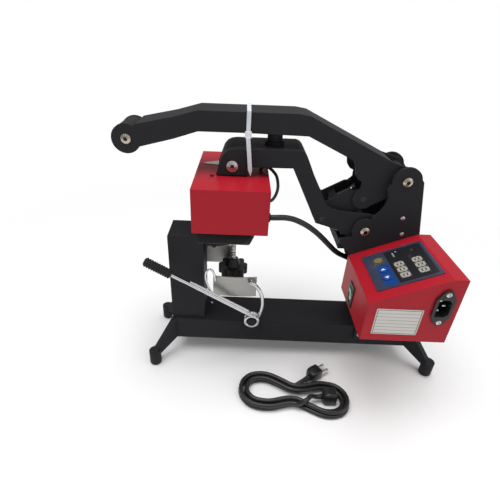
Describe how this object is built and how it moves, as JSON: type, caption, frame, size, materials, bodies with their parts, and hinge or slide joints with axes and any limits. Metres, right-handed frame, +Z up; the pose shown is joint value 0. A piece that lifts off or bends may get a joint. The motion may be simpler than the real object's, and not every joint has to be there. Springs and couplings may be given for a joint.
{
  "type": "cap heat press",
  "caption": "Clamshell cap heat press: curved heated head on a toggle handle, curved lower saddle on a pressure screw, band lever and sloped control box.",
  "frame": {"origin": "on the floor under the middle of the press's bounding box, without the loose mains lead", "axes": "+X from the handle's grip end to the hinge end, -Y to the control box side, +Z up"},
  "size_m": [0.47, 0.2205, 0.3845],
  "materials": {
    "satin_black": "satin black powder coat",
    "red_paint": "glossy red enamel",
    "zinc": "bright zinc-plated steel",
    "chrome_rod": "polished chrome plate",
    "grey_steel": "plain grey sheet steel",
    "black_rubber": "matt black rubber",
    "black_plastic": "matt black plastic",
    "lead_sheath": "soft black cable sheath",
    "silicone": "dark heat-proof silicone",
    "cast_platen": "machined aluminium with a dull coat",
    "heater_mat": "orange-brown heater mat",
    "insulation": "pale mineral fibre",
    "panel_blue": "printed blue and black overlay",
    "window": "smoked display window",
    "board_green": "green circuit board",
    "brass_pins": "nickelled brass",
    "rocker_green": "translucent green plastic",
    "key_blue": "blue key cap",
    "key_gold": "gold-brown key cap",
    "white_nylon": "natural white nylon"
  },
  "bodies": {
    "base": {"base_beam": "satin_black", "leg_yokes": "satin_black", "rubber_feet": "black_rubber", "frame_bolts": "zinc", "post": "satin_black", "near_side_plate": "satin_black", "far_side_plate": "satin_black", "back_channel": "satin_black", "arm_stop_bar": "satin_black", "arm_stop_screw": "zinc", "pivot_bolts": "zinc", "pivot_spacers": "zinc", "post_side_plate": "grey_steel", "saddle_bracket": "satin_black", "lever_lug": "satin_black", "lever_pivot_stud": "satin_black", "control_box_cover": "red_paint", "control_box_base": "red_paint", "panel_screws": "zinc", "faceplate": "panel_blue", "display_windows": "window", "circuit_board": "board_green", "inlet_socket": "black_plastic", "inlet_pins": "brass_pins", "switch_bezel": "black_plastic", "cable_gland": "black_plastic", "head_cable": "lead_sheath", "mains_lead": "lead_sheath", "lead_connector": "lead_sheath", "lead_plug": "lead_sheath"},
    "saddle": {"saddle_plate": "satin_black", "saddle_pad": "silicone", "saddle_base": "satin_black"},
    "screw": {"pressure_screw": "zinc", "star_knob": "black_plastic"},
    "head": {"head_cover": "red_paint", "heater_platen": "cast_platen", "heating_element": "heater_mat", "insulation_pad": "insulation", "head_hanger": "satin_black", "hanger_screws": "zinc", "sensor_lead": "lead_sheath", "head_gland": "black_rubber"},
    "arm": {"arm_frame": "satin_black", "rubber_bumper": "black_rubber", "arm_pins": "zinc"},
    "handle": {"handle_frame": "satin_black", "grip_sleeve": "black_rubber", "handle_pins": "zinc", "cable_tie": "white_nylon"},
    "link": {"toggle_link": "satin_black", "link_bolt": "zinc"},
    "lever": {"band_lever": "chrome_rod", "hook_wires": "chrome_rod", "lever_grip": "black_rubber"},
    "band": {"band_plate": "grey_steel"},
    "rocker": {"rocker_switch": "rocker_green"},
    "set_key": {"set_button": "key_gold"},
    "up_key": {"up_button": "key_blue"},
    "down_key": {"down_button": "key_blue"}
  },
  "joints": [
    {"name": "handle_hinge", "type": "hinge", "parent": "base", "child": "handle", "pos_m": [0.127, 0.03305, 0.309], "axis": [0, 1, 0], "range_deg": [0, 65]},
    {"name": "arm_hinge", "type": "hinge", "parent": "base", "child": "arm", "pos_m": [0.089, 0.03305, 0.239], "axis": [0, 1, 0], "range_deg": [0, 42.9], "deforming": ["head_cable"]},
    {"name": "link_hinge", "type": "hinge", "parent": "handle", "child": "link", "pos_m": [0.08147, 0.03305, 0.28051], "axis": [0, 1, 0], "range_deg": [-98.15, 0]},
    {"name": "head_tilt", "type": "hinge", "parent": "arm", "child": "head", "pos_m": [-0.088, 0.03305, 0.3193], "axis": [0, 1, 0], "range_deg": [-2, 2]},
    {"name": "saddle_lift", "type": "slide", "parent": "base", "child": "saddle", "axis": [0, 0, 1], "range_m": [-0.008, 0.0025]},
    {"name": "knob_turn", "type": "hinge", "parent": "saddle", "child": "screw", "pos_m": [-0.084, 0.03305, 0.17], "axis": [0, 0, 1], "range_deg": [-1921, 601]},
    {"name": "lever_swing", "type": "hinge", "parent": "base", "child": "lever", "pos_m": [-0.053, -0.01195, 0.0875], "axis": [0, 1, 0], "range_deg": [-30, 25]},
    {"name": "band_swing", "type": "hinge", "parent": "lever", "child": "band", "pos_m": [-0.0835, -0.00155, 0.1525], "axis": [1, 0, 0], "range_deg": [-10, 10]},
    {"name": "rocker_tilt", "type": "hinge", "parent": "base", "child": "rocker", "pos_m": [0.0778, -0.04495, 0.168], "axis": [0, 1, 0], "range_deg": [0, 14]},
    {"name": "set_key_press", "type": "slide", "parent": "base", "child": "set_key", "axis": [-0.3926, 0, 0.9197], "range_m": [-0.0005, 0], "stiffness_N_per_m": 400, "springref_m": 0.0005},
    {"name": "up_key_press", "type": "slide", "parent": "base", "child": "up_key", "axis": [-0.3926, 0, 0.9197], "range_m": [-0.0005, 0], "stiffness_N_per_m": 400, "springref_m": 0.0005},
    {"name": "down_key_press", "type": "slide", "parent": "base", "child": "down_key", "axis": [-0.3926, 0, 0.9197], "range_m": [-0.0005, 0], "stiffness_N_per_m": 400, "springref_m": 0.0005}
  ],
  "couplings": [
    {"joint": "arm_hinge", "follows": "handle_hinge", "ratio": 0.66},
    {"joint": "link_hinge", "follows": "handle_hinge", "ratio": -1.51},
    {"joint": "knob_turn", "follows": "saddle_lift", "rad_per_m": 4188.8}
  ]
}
